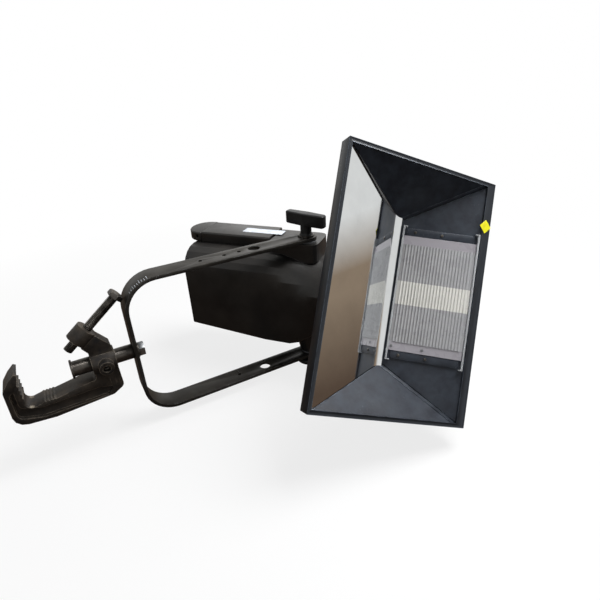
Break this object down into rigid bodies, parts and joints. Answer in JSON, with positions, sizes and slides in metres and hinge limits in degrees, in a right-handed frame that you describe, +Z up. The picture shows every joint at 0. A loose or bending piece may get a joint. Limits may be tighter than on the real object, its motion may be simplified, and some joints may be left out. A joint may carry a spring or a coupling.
{
  "type": "led stage spotlight",
  "caption": "Wash spotlight that hangs from a pipe: a long lamp body in a flat-bar yoke with a pipe clamp, and a turning mirror hood with a ribbed lens.",
  "frame": {"origin": "centre of the hanging pipe, on the axis of the clamp's spigot", "axes": "+Z up along the spigot, away from the lamp; +X along the tilt axis towards its T-handle; the light leaves towards -Y"},
  "size_m": [0.3831, 0.4774, 0.6785],
  "materials": {
    "cast_iron": "dark coated casting, worn at the tips",
    "black_steel": "blackened steel",
    "zinc_steel": "zinc plated steel",
    "black_paint": "satin black paint",
    "slate_paint": "satin dark slate paint",
    "black_shell": "satin black paint on cast aluminium",
    "black_plastic": "moulded, satin",
    "grey_plastic": "moulded, satin",
    "blue_plastic": "moulded, satin",
    "green_board": "coated circuit board",
    "white_board": "white coated circuit board",
    "bare_aluminium": "bare, satin",
    "mirror_coat": "polished mirror sheet",
    "clear_lens": "clear moulded lens",
    "dark_window": "dark glossy window"
  },
  "bodies": {
    "clamp": {"clamp_casting": "cast_iron"},
    "pipe_bolt": {"pipe_bolt": "black_steel"},
    "clamp_set_screw": {"clamp_set_screw": "black_steel"},
    "yoke": {"yoke": "black_paint", "spigot": "black_steel", "yoke_bolt": "zinc_steel", "yoke_washer": "zinc_steel"},
    "head": {"housing": "black_shell", "rear_panel": "black_paint", "side_rail": "black_shell", "rail_end_cap": "black_shell", "barrel": "bare_aluminium", "engine_lens": "clear_lens", "emitter_board": "white_board", "heat_sink": "bare_aluminium", "fan_frame": "black_plastic", "driver_board": "green_board", "control_board": "green_board", "power_inlet": "blue_plastic", "power_outlet": "grey_plastic", "data_inlet": "zinc_steel", "data_outlet": "zinc_steel", "fuse_holder": "black_plastic", "display_window": "dark_window", "friction_disc_right": "grey_plastic", "friction_disc_left": "grey_plastic", "pivot_washer_right": "zinc_steel", "pivot_washer_left": "zinc_steel", "tilt_stud": "zinc_steel", "pivot_stud": "zinc_steel"},
    "tilt_handle": {"tilt_handle": "black_plastic"},
    "pivot_knob": {"pivot_knob": "black_plastic"},
    "fan_rotor": {"fan_rotor": "black_plastic"},
    "menu_button_1": {"menu_button_1": "grey_plastic"},
    "menu_button_2": {"menu_button_2": "grey_plastic"},
    "menu_button_3": {"menu_button_3": "grey_plastic"},
    "menu_button_4": {"menu_button_4": "grey_plastic"},
    "hood": {"hood_collar": "black_shell", "hood_shell": "black_paint", "front_bezel": "slate_paint", "mirror": "mirror_coat", "hood_end_right": "slate_paint", "hood_end_left": "slate_paint", "lens_wall": "slate_paint", "ribbed_lens": "clear_lens", "lens_clip_rear": "clear_lens", "lens_clip_front": "clear_lens", "lens_plate_right": "black_paint", "lens_plate_left": "black_paint", "lens_screw_right_1": "zinc_steel", "lens_screw_right_2": "zinc_steel", "lens_screw_left_1": "zinc_steel", "lens_screw_left_2": "zinc_steel", "fold_box": "black_paint", "fold_box_cover": "black_paint", "fold_mirror": "mirror_coat"},
    "collar_lock_screw": {"collar_lock_screw": "black_plastic"}
  },
  "joints": [
    {"name": "pan", "type": "hinge", "parent": "clamp", "child": "yoke", "pos_m": [0, 0, -0.0765], "axis": [0, 0, 1], "range_deg": [-175, 175]},
    {"name": "pipe_bolt_slide", "type": "slide", "parent": "clamp", "child": "pipe_bolt", "axis": [-0.632, 0, 0.7749], "range_m": [0, 0.03]},
    {"name": "set_screw_slide", "type": "slide", "parent": "clamp", "child": "clamp_set_screw", "axis": [0, -1, 0], "range_m": [0, 0.003]},
    {"name": "tilt", "type": "hinge", "parent": "yoke", "child": "head", "pos_m": [0, 0, -0.3967], "axis": [1, 0, 0], "range_deg": [-45, 150]},
    {"name": "tilt_handle_turn", "type": "hinge", "parent": "head", "child": "tilt_handle", "pos_m": [0, 0, -0.3967], "axis": [1, 0, 0], "range_deg": [0, 360]},
    {"name": "pivot_knob_turn", "type": "hinge", "parent": "head", "child": "pivot_knob", "pos_m": [0, 0, -0.3967], "axis": [1, 0, 0], "range_deg": [0, 360]},
    {"name": "fan_spin", "type": "hinge", "parent": "head", "child": "fan_rotor", "pos_m": [0.013, 0.09953, -0.32633], "axis": [0, 0.7743, 0.6328], "continuous": true},
    {"name": "hood_turn", "type": "hinge", "parent": "head", "child": "hood", "pos_m": [0.013, 0.00538, -0.40328], "axis": [0, 0.7743, 0.6328], "range_deg": [-123.3, 56.7]},
    {"name": "collar_lock_turn", "type": "hinge", "parent": "hood", "child": "collar_lock_screw", "pos_m": [0.013, -0.05656, -0.45391], "axis": [0.549, -0.5289, 0.6472], "range_deg": [0, 360]},
    {"name": "menu_button_1_press", "type": "slide", "parent": "head", "child": "menu_button_1", "axis": [0, -0.7743, -0.6328], "range_m": [0, 0.0015], "stiffness_N_per_m": 300, "springref_m": -0.0015},
    {"name": "menu_button_2_press", "type": "slide", "parent": "head", "child": "menu_button_2", "axis": [0, -0.7743, -0.6328], "range_m": [0, 0.0015], "stiffness_N_per_m": 300, "springref_m": -0.0015},
    {"name": "menu_button_3_press", "type": "slide", "parent": "head", "child": "menu_button_3", "axis": [0, -0.7743, -0.6328], "range_m": [0, 0.0015], "stiffness_N_per_m": 300, "springref_m": -0.0015},
    {"name": "menu_button_4_press", "type": "slide", "parent": "head", "child": "menu_button_4", "axis": [0, -0.7743, -0.6328], "range_m": [0, 0.0015], "stiffness_N_per_m": 300, "springref_m": -0.0015}
  ]
}
